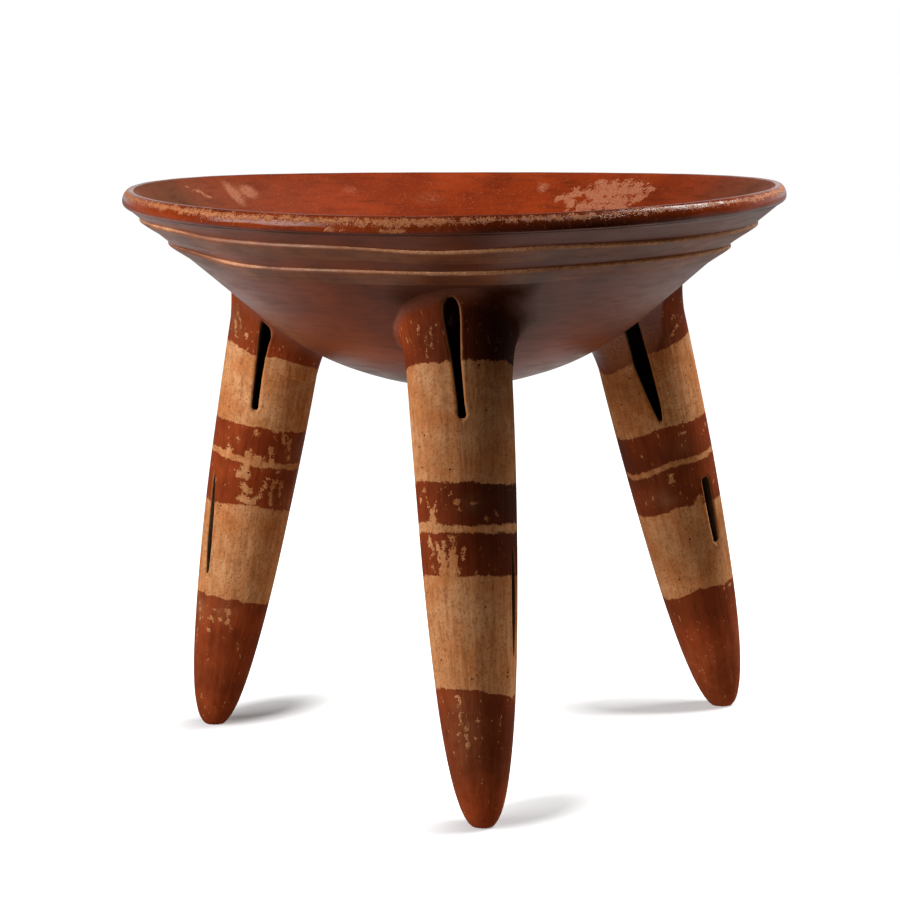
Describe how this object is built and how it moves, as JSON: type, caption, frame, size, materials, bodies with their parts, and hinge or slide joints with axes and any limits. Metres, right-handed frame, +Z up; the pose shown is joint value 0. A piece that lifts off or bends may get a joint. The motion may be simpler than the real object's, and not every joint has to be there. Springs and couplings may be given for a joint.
{
  "type": "tripod rattle bowl",
  "caption": "Wide shallow earthenware bowl with a thick lip and two ridges, on three hollow slit legs that taper to the floor and hold loose clay rattle pellets.",
  "frame": {"origin": "on the floor plane of the three feet, under the middle of the rim", "axes": "+Z up; -Y towards the front leg; +X towards the right leg's side"},
  "size_m": [0.24, 0.24, 0.2095],
  "materials": {
    "bowl_slip": "burnished red slip",
    "lip_slip": "burnished red slip, worn to the buff body along the crest",
    "ridge_slip": "burnished red slip, worn brown on the crest",
    "leg_slip": "cream slip with painted red bands, brushed along the leg",
    "collar_slip": "red slip over the luted joint",
    "pellet_clay": "bare fired clay"
  },
  "bodies": {
    "root": {"bowl": "bowl_slip", "rim_roll": "lip_slip", "upper_ridge": "ridge_slip", "lower_ridge": "ridge_slip", "front_leg": "leg_slip", "front_leg_collar": "collar_slip", "left_leg": "leg_slip", "left_leg_collar": "collar_slip", "right_leg": "leg_slip", "right_leg_collar": "collar_slip"},
    "front_pellet_1": {"front_pellet_1": "pellet_clay"},
    "front_pellet_2": {"front_pellet_2": "pellet_clay"},
    "front_pellet_3": {"front_pellet_3": "pellet_clay"},
    "left_pellet_1": {"left_pellet_1": "pellet_clay"},
    "left_pellet_2": {"left_pellet_2": "pellet_clay"},
    "left_pellet_3": {"left_pellet_3": "pellet_clay"},
    "right_pellet_1": {"right_pellet_1": "pellet_clay"},
    "right_pellet_2": {"right_pellet_2": "pellet_clay"},
    "right_pellet_3": {"right_pellet_3": "pellet_clay"}
  },
  "joints": [
    {"name": "front_pellet_1_slide", "type": "slide", "parent": "root", "child": "front_pellet_1", "axis": [-0.0495, 0.2145, 0.9755], "range_m": [0, 0.09]},
    {"name": "front_pellet_2_slide", "type": "slide", "parent": "root", "child": "front_pellet_2", "axis": [-0.0495, 0.2145, 0.9755], "range_m": [0, 0.09]},
    {"name": "front_pellet_3_slide", "type": "slide", "parent": "root", "child": "front_pellet_3", "axis": [-0.0495, 0.2145, 0.9755], "range_m": [0, 0.09]},
    {"name": "left_pellet_1_slide", "type": "slide", "parent": "root", "child": "left_pellet_1", "axis": [0.1676, 0.0082, 0.9858], "range_m": [0, 0.09]},
    {"name": "left_pellet_2_slide", "type": "slide", "parent": "root", "child": "left_pellet_2", "axis": [0.1676, 0.0082, 0.9858], "range_m": [0, 0.09]},
    {"name": "left_pellet_3_slide", "type": "slide", "parent": "root", "child": "left_pellet_3", "axis": [0.1676, 0.0082, 0.9858], "range_m": [0, 0.09]},
    {"name": "right_pellet_1_slide", "type": "slide", "parent": "root", "child": "right_pellet_1", "axis": [-0.2341, -0.1746, 0.9564], "range_m": [0, 0.09]},
    {"name": "right_pellet_2_slide", "type": "slide", "parent": "root", "child": "right_pellet_2", "axis": [-0.2341, -0.1746, 0.9564], "range_m": [0, 0.09]},
    {"name": "right_pellet_3_slide", "type": "slide", "parent": "root", "child": "right_pellet_3", "axis": [-0.2341, -0.1746, 0.9564], "range_m": [0, 0.09]}
  ]
}
